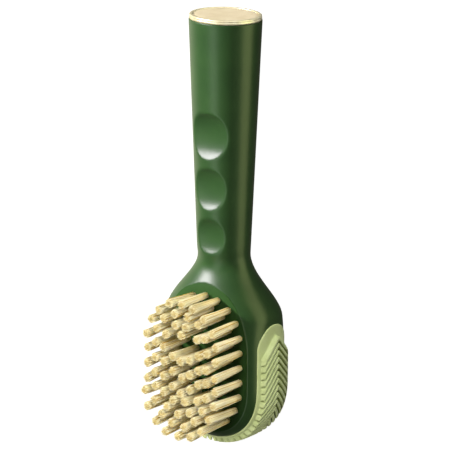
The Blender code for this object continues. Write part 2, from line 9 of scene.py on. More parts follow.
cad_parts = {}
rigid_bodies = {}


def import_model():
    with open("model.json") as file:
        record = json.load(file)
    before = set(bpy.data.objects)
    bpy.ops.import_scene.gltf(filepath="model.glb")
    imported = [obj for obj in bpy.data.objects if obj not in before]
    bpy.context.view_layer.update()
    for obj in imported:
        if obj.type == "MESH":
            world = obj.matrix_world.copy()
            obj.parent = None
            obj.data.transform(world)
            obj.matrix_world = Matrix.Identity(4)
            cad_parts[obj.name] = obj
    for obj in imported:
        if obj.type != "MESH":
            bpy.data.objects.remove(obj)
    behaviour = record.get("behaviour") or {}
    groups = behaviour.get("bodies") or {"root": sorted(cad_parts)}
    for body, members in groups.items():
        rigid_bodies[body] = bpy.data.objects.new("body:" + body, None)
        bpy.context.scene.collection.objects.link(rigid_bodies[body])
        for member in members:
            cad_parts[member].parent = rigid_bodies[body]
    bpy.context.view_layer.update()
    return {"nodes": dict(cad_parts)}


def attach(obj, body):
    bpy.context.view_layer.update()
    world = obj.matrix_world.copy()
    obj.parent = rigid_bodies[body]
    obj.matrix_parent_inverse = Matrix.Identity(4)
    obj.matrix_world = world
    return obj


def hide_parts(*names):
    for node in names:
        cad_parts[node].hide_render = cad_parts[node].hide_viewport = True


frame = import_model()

mm = 0.001
rootBody = "root"

# Lengths are in millimetres. Across is x, up runs along the handle from the head's end, and out runs from the
# grip's axis towards the bristle tips.
brush = {"length": 204.9, "backOut": 16.0}
weld = {"doubles": 0.004, "slivers": 0.002}        # nearer points are merged, and shorter edges dissolved


# x = across, y = up - length / 2, z = out + backOut
def place(across, up, out):
    across, up, out = np.broadcast_arrays(across, up, out)
    return np.stack([across, up - brush["length"] / 2, out + brush["backOut"]], axis=-1) * mm


# s = t * t * (3 - 2t), with t held between 0 and 1
def smoothStep(t):
    t = np.clip(t, 0.0, 1.0)
    return t * t * (3.0 - 2.0 * t)


# the lower of two heights, less width / 4 * (1 - gap / width) ** 2 where they are nearer than the width, which
# rounds the corner between them
def softMin(first, second, width):
    near = np.maximum(width - np.abs(first - second), 0.0) / width
    return np.minimum(first, second) - near * near * width / 4.0


# signed power: sign(v) * |v| ** p
def signedPower(value, power):
    return np.sign(value) * np.abs(value) ** power


# sRGB to linear: v / 12.92 up to 0.04045, and ((v + 0.055) / 1.055) ** 2.4 above it
def srgb(hexCode):
    values = np.array([int(hexCode[i:i + 2], 16) / 255.0 for i in (1, 3, 5)])
    linear = np.where(values <= 0.04045, values / 12.92, ((values + 0.055) / 1.055) ** 2.4)
    return (*linear.tolist(), 1.0)


# sockets go by name or number, stops are a colour ramp's (place, hex) pairs, and the rest are the node's own fields
def fillNode(tree, node, settings=None, links=None):
    for key, value in (settings or {}).items():
        if key == "stops":
            elements = node.color_ramp.elements
            while len(elements) < len(value):
                elements.new(0.5)
            for element, (position, hexCode) in zip(elements, value):
                element.position = position
                element.color = srgb(hexCode)
        elif isinstance(key, int) or key in node.inputs:
            node.inputs[key].default_value = value
        else:
            setattr(node, key, value)
    for key, source in (links or {}).items():
        tree.links.new(source, node.inputs[key])
    return node


def addNode(tree, kind, settings=None, links=None):
    return fillNode(tree, tree.nodes.new(kind), settings, links)


def newMaterial(name):
    made = bpy.data.materials.new(name)
    made.use_nodes = True
    return made, made.node_tree, made.node_tree.nodes["Principled BSDF"]


# A finish that varies over the surface. Noises are (size in mm, detail): the first runs between the colours, and the
# last, which may be the same one, between the roughnesses and under the bump of (strength, depth in mm)
def patternedFinish(name, look):
    made, tree, shader = newMaterial(name)
    coords = addNode(tree, "ShaderNodeTexCoord")
    fields = [addNode(tree, "ShaderNodeTexNoise", {"Scale": 1.0 / (size * mm), "Detail": detail},
                      {"Vector": coords.outputs["Object"]}).outputs["Fac"] for size, detail in look["noises"]]
    colour = addNode(tree, "ShaderNodeValToRGB", {"stops": look["colours"]}, {"Fac": fields[0]})
    links = {"Base Color": colour.outputs["Color"]}
    if "roughness" in look:
        low, high = look["roughness"]
        rough = addNode(tree, "ShaderNodeMapRange", {"To Min": low, "To Max": high}, {"Value": fields[-1]})
        links["Roughness"] = rough.outputs["Result"]
    if "bump" in look:
        strength, depth = look["bump"]
        bump = addNode(tree, "ShaderNodeBump", {"Strength": strength, "Distance": depth * mm},
                       {"Height": fields[-1]})
        links["Normal"] = bump.outputs["Normal"]
    fillNode(tree, shader, look["sockets"], links)
    return made


def linkObject(name, data):
    made = bpy.data.objects.new(name, data)
    bpy.context.scene.collection.objects.link(made)
    return made


def linkSmooth(name, mesh):
    mesh.update()
    mesh.shade_smooth()
    return linkObject(name, mesh)


# rows x columns of points as a skin of quads: each row is closed round, and the last row meets the first where
# asked. Doubled points are merged before the faces are turned outwards
def skin(name, points, closeRows=False):
    rows, columns = points.shape[:2]
    index = np.arange(rows * columns).reshape(rows, columns)
    if closeRows:
        index = np.vstack([index, index[:1]])
    index = np.hstack([index, index[:, :1]])
    quads = np.stack([index[:-1, :-1], index[1:, :-1], index[1:, 1:], index[:-1, 1:]], axis=-1)
    mesh = bpy.data.meshes.new(name)
    mesh.from_pydata(points.reshape(-1, 3).tolist(), [], quads.reshape(-1, 4).tolist())
    work = bmesh.new()
    work.from_mesh(mesh)
    bmesh.ops.remove_doubles(work, verts=work.verts, dist=weld["doubles"] * mm)
    bmesh.ops.dissolve_degenerate(work, edges=work.edges, dist=weld["slivers"] * mm)
    bmesh.ops.recalc_face_normals(work, faces=work.faces)
    work.to_mesh(mesh)
    work.free()
    return linkSmooth(name, mesh)


def dress(piece, material, node):
    piece.data.materials.append(material)
    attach(piece, rootBody)
    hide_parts(node)


# Camera: the photograph's angle, distance and framing, fitted to the outline and the tuft grid. Angles are in
# degrees, distance, target and clipEnd in metres, and lens and sensor in millimetres
view = {"turn": 36.064, "rise": 15.459, "roll": 0.40, "distance": 1.5145, "target": (0.0, 0.0019, 0.016),
        "lens": 259.66, "sensor": 36.0, "shift": 0.002, "clipEnd": 20.0}


# back = (sin t cos e, sin e, cos t cos e), right is level across it, and both turn by the roll
def cameraAxes():
    turn, rise, roll = (math.radians(view[key]) for key in ("turn", "rise", "roll"))
    back = Vector((math.sin(turn) * math.cos(rise), math.sin(rise), math.cos(turn) * math.cos(rise)))
    level = Vector((math.cos(turn), 0.0, -math.sin(turn)))
    upright = back.cross(level)
    right = math.cos(roll) * level + math.sin(roll) * upright
    top = -math.sin(roll) * level + math.cos(roll) * upright
    return right, top, back


def makeCamera():
    right, top, back = cameraAxes()
    data = bpy.data.cameras.new("camera")
    data.lens = view["lens"]
    data.sensor_width = view["sensor"]
    data.shift_x = view["shift"]
    data.clip_end = view["clipEnd"]
    camera = linkObject("camera", data)
    spot = Vector(view["target"]) + back * view["distance"]
    camera.matrix_world = Matrix.Translation(spot) @ Matrix((right, top, back)).transposed().to_4x4()
    bpy.context.scene.camera = camera


makeCamera()
print("camera placed")

# Matt white paint on the floor: even and without gloss, with a glow that keeps it as pale as the backdrop
floorLook = {
    "halfSize": 4.0, "noises": [(40.0, 2.0)], "colours": [(0.0, "#9A9A98"), (1.0, "#FBFBFA")],
    "sockets": {"Roughness": 0.9, "Emission Color": (1.0, 1.0, 1.0, 1.0), "Emission Strength": 1.0},
}


def makeFloor():
    half = floorLook["halfSize"]
    corners = [(-half, -half, 0.0), (half, -half, 0.0), (half, half, 0.0), (-half, half, 0.0)]
    mesh = bpy.data.meshes.new("floor")
    mesh.from_pydata(corners, [], [(0, 1, 2, 3)])
    mesh.materials.append(patternedFinish("paintedStudioFloor", floorLook))
    floor = linkObject("floor", mesh)
    floor.visible_glossy = False        # the gloss on the green shows the softboxes and not the floor
    floor.visible_diffuse = False       # and the floor's glow doesn't light the brush from below


# Studio: lights are placed by how far right, up and towards the viewer they stand
lights = {
    # name: (right, up, towards), distance m, width m, height m, roll degrees, power W, colour, lights surfaces,
    # shows in gloss
    "key": ((-0.917, 0.3275, 0.223), 1.4, 0.10, 0.10, 0.0, 30.0, "#FFF8EC", True, False),
    "fill": ((-0.30, 0.40, 0.87), 1.6, 0.60, 0.60, 0.0, 5.5, "#FFFBF0", True, False),
    "tuftCard": ((0.05, 0.45, 0.89), 1.2, 1.40, 1.40, 0.0, 31.0, "#FFFBEE", True, False),
    "bandCard": ((0.25, 0.60, 0.76), 1.5, 0.90, 0.90, 0.0, 27.0, "#F8FBFF", True, False),
    "capCard": ((0.25, 0.45, 0.85), 1.5, 0.90, 0.90, 0.0, 26.0, "#F8FBFF", True, False),
    "tuftFill": ((-0.60, -0.35, 0.72), 1.2, 1.40, 1.40, 0.0, 7.0, "#FFE9B0", True, False),
    "frontFill": ((0.65, -0.35, 0.67), 1.5, 0.80, 0.80, 0.0, 3.4, "#FFFBEC", True, False),
    "toeCard": ((-0.46, -0.80, 0.39), 1.5, 0.90, 0.90, 0.0, 17.0, "#FFFFFF", True, False),
    "leftBank": ((-0.72, -0.34, 0.604), 0.9, 0.35, 0.90, 60.6, 1.6, "#F4FFF0", False, True),
    "topBank": ((-0.806, 0.545, 0.231), 1.3, 0.55, 0.72, 136.4, 32.0, "#FFF2FF", False, True),
    "rightStrip": ((0.874, 0.139, 0.465), 1.3, 1.05, 2.20, -81.8, 16.0, "#F8FFB2", False, True),
}

# The air is dim but for the white backdrop's side, behind the brush to the left. Its light rises smoothly with the
# cosine of the angle to the backdrop, from edge to centre
air = {"tint": "#D6D2BC", "dim": 0.15, "bright": 1.4, "right": -0.6, "towards": -0.8, "edge": 0.7, "centre": 1.0}


# spot = target + heading * distance, and each light faces the brush, turned about its heading by the roll
def makeLights():
    right, top, back = cameraAxes()
    target = Vector(view["target"])
    for name, (direction, distance, width, height, roll, power, colour, lit, glossy) in lights.items():
        data = bpy.data.lights.new(name, "AREA")
        data.shape = "RECTANGLE"
        data.size, data.size_y = width, height
        data.energy = power
        data.color = srgb(colour)[:3]
        lamp = linkObject(name, data)
        heading = (right * direction[0] + top * direction[1] + back * direction[2]).normalized()
        lamp.location = target + heading * distance
        turned = heading.to_track_quat("Z", "Y").to_matrix() @ Matrix.Rotation(math.radians(roll), 3, "Z")
        lamp.rotation_euler = turned.to_euler()
        lamp.visible_diffuse, lamp.visible_glossy = lit, glossy


def makeAir():
    right, _, back = cameraAxes()
    world = bpy.data.worlds.new("studioAir")
    world.use_nodes = True
    tree = world.node_tree
    backdrop = tuple(air["right"] * right + air["towards"] * back)
    coords = addNode(tree, "ShaderNodeTexCoord")
    across = addNode(tree, "ShaderNodeVectorMath", {"operation": "DOT_PRODUCT", 1: backdrop},
                     {0: coords.outputs["Generated"]})
    glow = addNode(tree, "ShaderNodeMapRange",
                   {"interpolation_type": "SMOOTHSTEP", "From Min": air["edge"], "From Max": air["centre"],
                    "To Min": air["dim"], "To Max": air["bright"]}, {"Value": across.outputs["Value"]})
    fillNode(tree, tree.nodes["Background"], {"Color": srgb(air["tint"])}, {"Strength": glow.outputs["Result"]})
    bpy.context.scene.world = world
    bpy.context.scene.view_settings.view_transform = "Standard"


makeFloor()
makeLights()
makeAir()
print("floor and lights placed")

# Moulded handle: grip, neck and head in one skin. The grip's taper is measured to endUp and runs on to skinEnd
body = {
    "endUp": 201.9, "skinEnd": 202.6, "endRound": 0.3, "endSteps": 6, "gripHalfWidth": 17.5, "gripHalfDepth": 16.0,
    "neckUp": 91.2, "neckHalfWidth": 12.85, "neckHalfDepth": 11.8,
    "flareLength": 28.6, "lipUp": 88.0, "lipLength": 17.2, "throat": 1.2, "throatUp": 96.0, "throatLength": 9.0,
    "headHalfWidth": 28.2, "headCentreUp": 31.6, "headEndUp": 2.8, "frontCrown": 17.7, "backCrown": 17.4,
    "gripSquare": 2.0, "headSquare": 3.8, "toeSquare": 2.25, "squarePower": 1.5,
    "frontSquareUp": 81.5, "frontSquareLength": 33.0, "backSquareLength": 40.0,
    "padOut": 14.1, "rimRound": 0.4, "heelRound": 1.4,
    # the mesh: rows along the handle, closer from fineUp down and closest at the pad's tip, and lines round it
    "gripStep": 0.8, "headStep": 0.6, "fineUp": 84.0, "padTipUp": 76.0, "padTipSpan": 6.0, "padTipRows": 25,
    "toeRows": 56, "flatLines": 26, "sideLines": 60, "steepAngle": 88.5, "restAngle": 62.0, "restStretch": 22.0,
}
body["toeShare"] = (body["headCentreUp"] - body["headEndUp"]) / body["headHalfWidth"]

dimples = {
    "ups": (149.1, 123.7, 100.7), "widths": (19.3, 17.0, 15.2), "heights": (21.9, 20.0, 17.6),
    "depths": (3.6, 3.1, 2.7), "lift": 3.0, "levelMost": 0.98, "outerRise": 6.0, "lipRound": 0.35,
}


# half width, front depth, back depth, front squareness and back squareness at a height: straight lines from the neck
# to the cap and smooth steps from the neck down to the head. The front steps out at the pad's lip instead, from a
# throat that is a little shallower than the neck's line, and it squares off on its own stretch
def sectionSizes(up):
    share = np.clip((up - body["neckUp"]) / (body["endUp"] - body["neckUp"]), 0.0, 1.0)
    flare = smoothStep((body["neckUp"] - up) / body["flareLength"])
    lip = smoothStep((body["lipUp"] - up) / body["lipLength"])
    throat = body["throat"] * smoothStep((body["throatUp"] - up) / body["throatLength"])
    wide, deep = body["neckHalfWidth"], body["neckHalfDepth"]
    grip = deep + (body["gripHalfDepth"] - deep) * share
    halfWidth = wide + (body["gripHalfWidth"] - wide) * share + (body["headHalfWidth"] - wide) * flare
    front = grip - throat + (body["frontCrown"] - deep + throat) * lip
    back = grip + (body["backCrown"] - deep) * flare
    squared = [smoothStep((start - up) / length) ** body["squarePower"] for start, length in
               ((body["frontSquareUp"], body["frontSquareLength"]), (body["neckUp"], body["backSquareLength"]))]
    squares = [body["gripSquare"] + (body["headSquare"] - body["gripSquare"]) * part for part in squared]
    return halfWidth, front, back, *squares


# half width of the body at a height and a depth: A * (1 - |out / B| ** p) ** (1 / p)
def sideHalfWidth(up, out):
    halfWidth, front, back, frontSquare, backSquare = sectionSizes(up)
    depth, square = np.where(out > 0.0, front, back), np.where(out > 0.0, frontSquare, backSquare)
    return halfWidth * (1.0 - np.minimum(1.0, np.abs(out) / depth) ** square) ** (1.0 / square)


# across and down on the head's end for a reach of one: cos and sin raised to 2 / toeSquare
def toeShape(turn):
    power = 2.0 / body["toeSquare"]
    return signedPower(np.cos(turn), power), np.abs(np.sin(turn)) ** power


# a point of the head's end: reach * toeShape, which is toeShare as deep as it is wide, and proud more both ways
def toePoint(reach, turn, out, proud=0.0):
    across, down = toeShape(turn)
    across = np.where(np.abs(turn - math.pi / 2) < 1e-6, 0.0, across)        # the last turn is on the middle line
    return place((reach + proud) * across, body["headCentreUp"] - (reach * body["toeShare"] + proud) * down, out)


# the angle at which a section reaches a depth: sin(angle) ** (2 / p) = limit / depth, up to the steep angle. Where it
# doesn't reach it, the angle eases from the steep angle to the rest angle over a stretch of the handle
def cutAngle(depth, limit, square, above):
    steep, rest = math.radians(body["steepAngle"]), math.radians(body["restAngle"])
    reached = np.arcsin(np.minimum(1.0, limit / depth) ** (square / 2.0))
    eased = steep + (rest - steep) * smoothStep(above / body["restStretch"])
    return np.where(depth > limit, np.minimum(reached, steep), eased)


# out of the ellipsoid's lower face: centre - c * sqrt(1 - (across / a) ** 2 - (up / b) ** 2). Its centre stands above
# the grip by the lift, a and b are such that it cuts the grip to the dimple's width and height, and outside its
# outline it rises out of the way
def dimpleFloor(number, across, up):
    middle = dimples["ups"][number]
    halfWidth, front = sectionSizes(np.array(middle))[:2]
    radiusOut = dimples["depths"][number] + dimples["lift"]
    halfSpan = dimples["widths"][number] / 2
    drop = front * (1.0 - np.sqrt(1.0 - (halfSpan / halfWidth) ** 2))
    level = min(dimples["levelMost"], (dimples["lift"] + drop) / radiusOut)
    radiusAcross = halfSpan / math.sqrt(1.0 - level ** 2)
    radiusUp = dimples["heights"][number] / 2 / math.sqrt(1.0 - (dimples["lift"] / radiusOut) ** 2)
    reach = (across / radiusAcross) ** 2 + ((up - middle) / radiusUp) ** 2
    floor = front + dimples["lift"] - radiusOut * np.sqrt(np.maximum(0.0, 1.0 - reach))
    return floor + dimples["outerRise"] * np.maximum(0.0, reach - 1.0)


# one section row for each height, across = A * cos ** (2 / p) and out = B * sin ** (2 / p): angles run from the front
# centre to the edge of the flat front, round the side to the edge of the flat back and on to its centre
def bodySections(ups, insets):
    halfWidth, front, back, frontSquare, backSquare = (value[:, None] for value in sectionSizes(ups))
    inset = insets[:, None]
    padTop, heelTop = ups[front[:, 0] > body["padOut"]].max(), ups[back[:, 0] > brush["backOut"]].max()
    frontEdge = cutAngle(front, body["padOut"], frontSquare, ups[:, None] - padTop)
    backEdge = cutAngle(back, brush["backOut"], backSquare, ups[:, None] - heelTop)
    inFlat = 1.0 - (1.0 - np.linspace(0.0, 1.0, body["flatLines"])) ** 2        # closer towards the flat's edge
    frontAngles = np.arccos(np.clip(inFlat ** (frontSquare / 2.0) * np.cos(frontEdge), 0.0, 1.0))
    backAngles = -np.arccos(np.clip(inFlat ** (backSquare / 2.0) * np.cos(backEdge), 0.0, 1.0))
    along = (1.0 - np.cos(np.linspace(0.0, math.pi, body["sideLines"])))[1:-1] / 2.0
    sideAngles = frontEdge + (-backEdge - frontEdge) * along
    angles = np.hstack([frontAngles, sideAngles, backAngles[:, ::-1]])
    square = np.where(angles > 0.0, frontSquare, backSquare)
    across = (halfWidth - inset) * np.abs(np.cos(angles)) ** (2.0 / square)
    across[:, [0, -1]] = 0.0
    out = (np.where(angles > 0.0, front, back) - inset) * signedPower(np.sin(angles), 2.0 / square)
    return across, out


# below the neck the front is held to the pad's depth and the back to the flat's, with softened rims
def holdFlats(across, up, out):
    pressed = softMin(out, np.full_like(out, body["padOut"]), body["rimRound"])
    pressed = -softMin(-pressed, np.full_like(out, brush["backOut"]), body["heelRound"])
    return np.where(up < body["neckUp"], pressed, out)


# heights of the rows from the cap down to the head's centre, and how far each is drawn in at the rounded end. The
# head's steps stop just short of its centre, which has a row of its own
def handleRows():
    rim = np.linspace(0.0, math.pi / 2, body["endSteps"])
    rimUps = body["skinEnd"] - body["endRound"] * (1.0 - np.sin(rim))
    rimInsets = body["endRound"] * (1.0 - np.cos(rim))
    gripUps = np.arange(body["skinEnd"] - body["endRound"] - body["gripStep"], body["fineUp"], -body["gripStep"])
    headUps = np.arange(body["fineUp"], body["headCentreUp"] + 0.01, -body["headStep"])
    padTip = body["padTipUp"] + body["padTipSpan"] * np.linspace(0.0, 1.0, body["padTipRows"])
    lower = np.unique(np.round(np.concatenate([headUps, padTip, [body["headCentreUp"]]]), 3))[::-1]
    ups = np.concatenate([rimUps[::-1], gripUps, lower])
    return ups, np.concatenate([rimInsets[::-1], np.zeros(len(gripUps) + len(lower))])


# the right half is its closed end, the section rows with the dimples scooped out and the flats held, and the last row
# carried round the head's end. The left half mirrors it
def makeHandle(material):
    ups, insets = handleRows()
    across, out = bodySections(ups, insets)
    up = np.broadcast_to(ups[:, None], across.shape)
    for number in range(len(dimples["ups"])):
        scooped = softMin(out, dimpleFloor(number, across, up), dimples["lipRound"])
        out = np.where((out > 0.0) & (up > body["neckUp"]), scooped, out)
    out = holdFlats(across, up, out)
    side = place(across, up, out)
    turns = np.linspace(0.0, math.pi / 2, body["toeRows"])[1:, None]
    toe = toePoint(across[-1][None, :], turns, out[-1][None, :])
    end = np.broadcast_to(place(0.0, body["skinEnd"], 0.0), side[:1].shape)
    half = np.concatenate([end, side, toe])
    mirrored = half[:, -2:0:-1] * np.array([-1.0, 1.0, 1.0])
    handle = skin("handleBody", np.concatenate([half, mirrored], axis=1))
    dress(handle, material, "handle_shell")


# Moulded ABS: pigmented through, satin from a finely blasted mould, so highlights are soft-edged. The blast's grain
# is drawn 1.1 mm coarse, because the real one is too fine to show
absLook = {
    "noises": [(14.0, 2.0), (1.1, 3.0)], "colours": [(0.35, "#31552D"), (0.65, "#365B30")],
    "roughness": (0.31, 0.37), "bump": (0.25, 0.02), "sockets": {"IOR": 1.53, "Specular IOR Level": 0.5},
}
makeHandle(patternedFinish("mouldedGreenAbs", absLook))
print("handle made")

# Tuft plate: flush in the head, with the tufts' feet under the bristles
plate = {
    "inset": 0.4, "proud": 0.02, "edge": 0.04, "topUp": 79.1, "shoulderUp": 42.9, "halfWidth": 24.4,
    "topSquare": 2.3, "thickness": 3.0, "turns": 72, "shares": (0.0, 0.25, 0.5, 0.75, 1.0),
}


# toe end like the head's, straight sides, and a superellipse of topSquare towards the neck
def plateOutline(inset):
    radius = plate["halfWidth"] - inset
    turn = np.linspace(0.0, math.pi, plate["turns"])
    across, down = toeShape(turn)
    depth = plate["halfWidth"] * body["toeShare"] - inset
    low = np.stack([-radius * across, body["headCentreUp"] - depth * down], -1)
    power = 2.0 / plate["topSquare"]
    reach = plate["topUp"] - plate["shoulderUp"] - inset
    high = np.stack([radius * signedPower(np.cos(turn), power),
                     plate["shoulderUp"] + reach * np.abs(np.sin(turn)) ** power], -1)
    return np.concatenate([low, high])


# rows are the outline shrunk towards the centre by each share on top, then the chamfer, the wall and the underside
def makePlate(material):
    centre = np.array([0.0, (plate["topUp"] + body["headEndUp"]) / 2])
    edge = plateOutline(plate["inset"])
    chamfered = plateOutline(plate["inset"] + plate["edge"])
    top, under = body["padOut"] + plate["proud"], body["padOut"] - plate["thickness"]
    rows = [(centre + (chamfered - centre) * share, top) for share in plate["shares"]]
    rows += [(edge, top - plate["edge"]), (edge, under), (np.broadcast_to(centre, edge.shape), under)]
    points = np.stack([place(outline[:, 0], outline[:, 1], out) for outline, out in rows])
    dress(skin("tuftPlate", points), material, "tuft_plate")


# The plate is the same ABS from a coarser blasted mould, so it is duller and nearly without gloss
plateLook = {**absLook, "colours": [(0.35, "#34572C"), (0.65, "#385D30")], "roughness": (0.50, 0.56),
             "sockets": {"IOR": 1.53, "Specular IOR Level": 0.05}}
makePlate(patternedFinish("mouldedPlateAbs", plateLook))
print("tuft plate made")

# Bristle tufts: the rings from the outside in, then the row in their middle. Each piece stands for one solid
bristlePieces = {
    "bristleRingOuter": "bristle_ring_outer", "bristleRingSecond": "bristle_ring_second",
    "bristleRingThird": "bristle_ring_third", "bristleRingInner": "bristle_ring_inner",
    "bristleCentreRow": "bristle_centre_row",
}
tufts = {
    "fieldUp": 41.75, "straight": 23.7, "outerRadius": 19.9, "rings": 4, "pitch": 7.2, "oddStart": 0.5,
    "missing": (0.6, 52.4), "missingReach": 6.0, "ringSeed": 11, "rowSeed": 29,
    # the hairs are drawn 0.33 mm thick, a little coarser than real ones, so that each of them shows
    "filaments": 96, "sides": 5, "filamentRadius": 0.165, "goldenAngle": 2.39996,
    "length": 20.6, "rootDepth": 0.8, "dome": 0.6, "uneven": 0.7, "tuftUneven": 0.35,
    "baseRadius": 1.48, "baseStray": 0.06, "tipRadius": 2.15, "stray": 0.10, "lean": 0.35,
    "wave": 0.06, "bendPower": 1.4,
    # the tufts near the toe lean to the left, and the nearest ones also downwards
    "toeLean": 1.8, "toeLeanUp": 36.0, "toeLeanStretch": 16.0,
    "toeDrop": 1.2, "toeDropUp": 24.0, "toeDropStretch": 10.0,
    # shares of the way up a filament, and its girth at each
    "steps": (0.0, 0.3, 0.6, 0.85, 0.96, 1.0), "girths": (1.0, 1.0, 1.0, 0.96, 0.85, 0.35),
}


# equal steps along a stadium ring, from its lowest point round
def ringPlaces(radius, startShare):
    straight, arc = tufts["straight"], math.pi * radius
    total = 2.0 * (straight + arc)
    count = round(total / tufts["pitch"])
    along = total * ((np.arange(count) + startShare) / count)
    # where the low right arc, the right side, the top and the left side end
    marks = (arc / 2, arc / 2 + straight, 1.5 * arc + straight, 1.5 * arc + 2 * straight)
    inside = [along < mark for mark in marks]
    topTurn, lowTurn = (along - marks[1]) / radius, (along - marks[3]) / radius
    across = np.select(inside, [radius * np.sin(along / radius), np.full(count, radius), radius * np.cos(topTurn),
                                np.full(count, -radius)], -radius * np.cos(lowTurn))
    up = np.select(inside, [-straight / 2 - radius * np.cos(along / radius), along - marks[0] - straight / 2,
                            straight / 2 + radius * np.sin(topTurn), straight / 2 - (along - marks[2])],
                   -straight / 2 - radius * np.sin(lowTurn))
    return np.stack([across, up + tufts["fieldUp"]], -1)


# equal steps up the middle of the field
def rowPlaces():
    count = round(tufts["straight"] / tufts["pitch"]) + 1
    up = tufts["fieldUp"] + np.linspace(-0.5, 0.5, count) * tufts["straight"]
    return np.stack([np.zeros(count), up], -1)


# each filament is a bent line: base + (tip - base) * t ** bendPower + a half wave. Filaments stand on a sunflower
# spiral, r = R * sqrt(i / n), and the bundle's outer ones are shorter by dome * (r / R) ** 3, so its end is domed.
# Arrays run over tuft, filament and step
def filamentLines(places, random):
    count, each = len(places), tufts["filaments"]
    share = np.sqrt((np.arange(each) + 0.5) / each)[None, :] * np.ones((count, 1))
    turn = np.arange(each)[None, :] * tufts["goldenAngle"] + random.uniform(0.0, 2.0 * math.pi, (count, 1))
    spiral = np.stack([np.cos(turn), np.sin(turn)], -1) * share[..., None]
    base = spiral * tufts["baseRadius"] + random.normal(0.0, tufts["baseStray"], (count, each, 2))
    tip = spiral * tufts["tipRadius"] + random.normal(0.0, tufts["stray"], (count, each, 2))
    tip += random.normal(0.0, tufts["lean"], (count, 1, 2))
    tip[..., 0] -= tufts["toeLean"] * smoothStep((tufts["toeLeanUp"] - places[:, 1:]) / tufts["toeLeanStretch"])
    tip[..., 1] -= tufts["toeDrop"] * smoothStep((tufts["toeDropUp"] - places[:, 1:]) / tufts["toeDropStretch"])
    high = tufts["length"] - tufts["dome"] * share ** 3 - random.uniform(0.0, tufts["uneven"], (count, each))
    high -= random.uniform(0.0, tufts["tuftUneven"], (count, 1))
    bend = random.normal(0.0, tufts["wave"], (count, each, 2))
    t = np.array(tufts["steps"])
    line = base[:, :, None, :] + (tip - base)[:, :, None, :] * t[:, None] ** tufts["bendPower"]
    line = line + bend[:, :, None, :] * np.sin(math.pi * t[:, None]) + places[:, None, None, :]
    out = body["padOut"] - tufts["rootDepth"] + (high[:, :, None] + tufts["rootDepth"]) * t
    return line, out, share


# a small polygon is carried up each filament's line and closed at both ends. The points keep the filament's tint,
# their reach up it and its place between the tuft's core and rim for the material
def makeTufts(name, places, seed, material):
    random = np.random.default_rng(seed)
    gap = np.hypot(places[:, 0] - tufts["missing"][0], places[:, 1] - tufts["missing"][1])
    line, out, share = filamentLines(places[gap > tufts["missingReach"]], random)
    steps, sides = np.array(tufts["steps"])[:, None], tufts["sides"]
    girth = np.array(tufts["girths"])[:, None] * tufts["filamentRadius"]
    corners = 2.0 * math.pi * np.arange(sides) / sides
    points = place(line[..., :1] + girth * np.cos(corners), line[..., 1:] + girth * np.sin(corners), out[..., None])
    grid = points.shape[:-1]                                         # tuft, filament, step, side
    index = np.arange(np.prod(grid)).reshape(-1, len(steps), sides)
    turned = np.roll(index, -1, axis=2)
    walls = np.stack([index[:, :-1], turned[:, :-1], turned[:, 1:], index[:, 1:]], -1).reshape(-1, 4)
    mesh = bpy.data.meshes.new(name)
    faces = walls.tolist() + index[:, -1].tolist() + index[:, 0, ::-1].tolist()
    mesh.from_pydata(points.reshape(-1, 3).tolist(), [], faces)
    tint = random.uniform(0.0, 1.0, share.shape)[..., None, None]
    for label, values in (("tint", tint), ("reach", steps), ("core", share[..., None, None])):
        values = np.broadcast_to(values, grid).astype(np.float32)
        mesh.attributes.new(label, "FLOAT", "POINT").data.foreach_set("value", values.ravel())
    dress(linkSmooth(name, mesh), material, bristlePieces[name])


# Natural bristle: slightly translucent straw-coloured hairs, each its own tone, with painted shade darkening them
# towards the root, deep between the tufts, and golden at the cut ends in a tuft's core. Light goes 0.8 mm into them
bristleLook = {
    "hairs": [(0.06, "#C2A356"), (0.24, "#EEE4B6"), (0.6, "#F7F2D6")],        # few are brown, most are pale
    # the root colour is painted shade between the tufts, mixed in by rootShadeShare at the root and fading out at the
    # tip
    "root": "#D2B664", "rootShadeShare": 0.55, "core": "#DECC8C", "coreShare": 0.8, "coreEdge": 0.75, "coreMiddle": 0.25,
    "endStart": 0.90, "endFull": 0.97,
    "sockets": {"Roughness": 0.5, "Specular IOR Level": 0.12, "Subsurface Weight": 0.15,
                "Subsurface Radius": (1.0, 0.7, 0.35), "Subsurface Scale": 0.0008},
}


# in a colour Mix node, socket 0 is the share, 6 and 7 are the two colours and output 2 is their mix
def cutBristle(name, look):
    made, tree, shader = newMaterial(name)
    tint, reach, core = (addNode(tree, "ShaderNodeAttribute", {"attribute_name": label}).outputs["Fac"]
                         for label in ("tint", "reach", "core"))
    hair = addNode(tree, "ShaderNodeValToRGB", {"stops": look["hairs"]}, {"Fac": tint})
    # painted shade between the tufts: each hair's colour is mixed towards the root colour, most at its root and not
    # at all at its tip
    depth = addNode(tree, "ShaderNodeMapRange", {"To Min": look["rootShadeShare"], "To Max": 0.0}, {"Value": reach})
    rootShaded = addNode(tree, "ShaderNodeMix", {"data_type": "RGBA", 7: srgb(look["root"])},
                     {0: depth.outputs["Result"], 6: hair.outputs["Color"]})
    middle = addNode(tree, "ShaderNodeMapRange", {"From Min": look["coreEdge"], "From Max": look["coreMiddle"],
                                                  "To Min": 0.0, "To Max": look["coreShare"]}, {"Value": core})
    end = addNode(tree, "ShaderNodeMapRange", {"From Min": look["endStart"], "From Max": look["endFull"]},
                  {"Value": reach})
    ended = addNode(tree, "ShaderNodeMath", {"operation": "MULTIPLY"},
                    {0: middle.outputs["Result"], 1: end.outputs["Result"]})
    shade = addNode(tree, "ShaderNodeMix", {"data_type": "RGBA", 7: srgb(look["core"])},
                    {0: ended.outputs["Value"], 6: rootShaded.outputs[2]})
    fillNode(tree, shader, look["sockets"], {"Base Color": shade.outputs[2]})
    return made


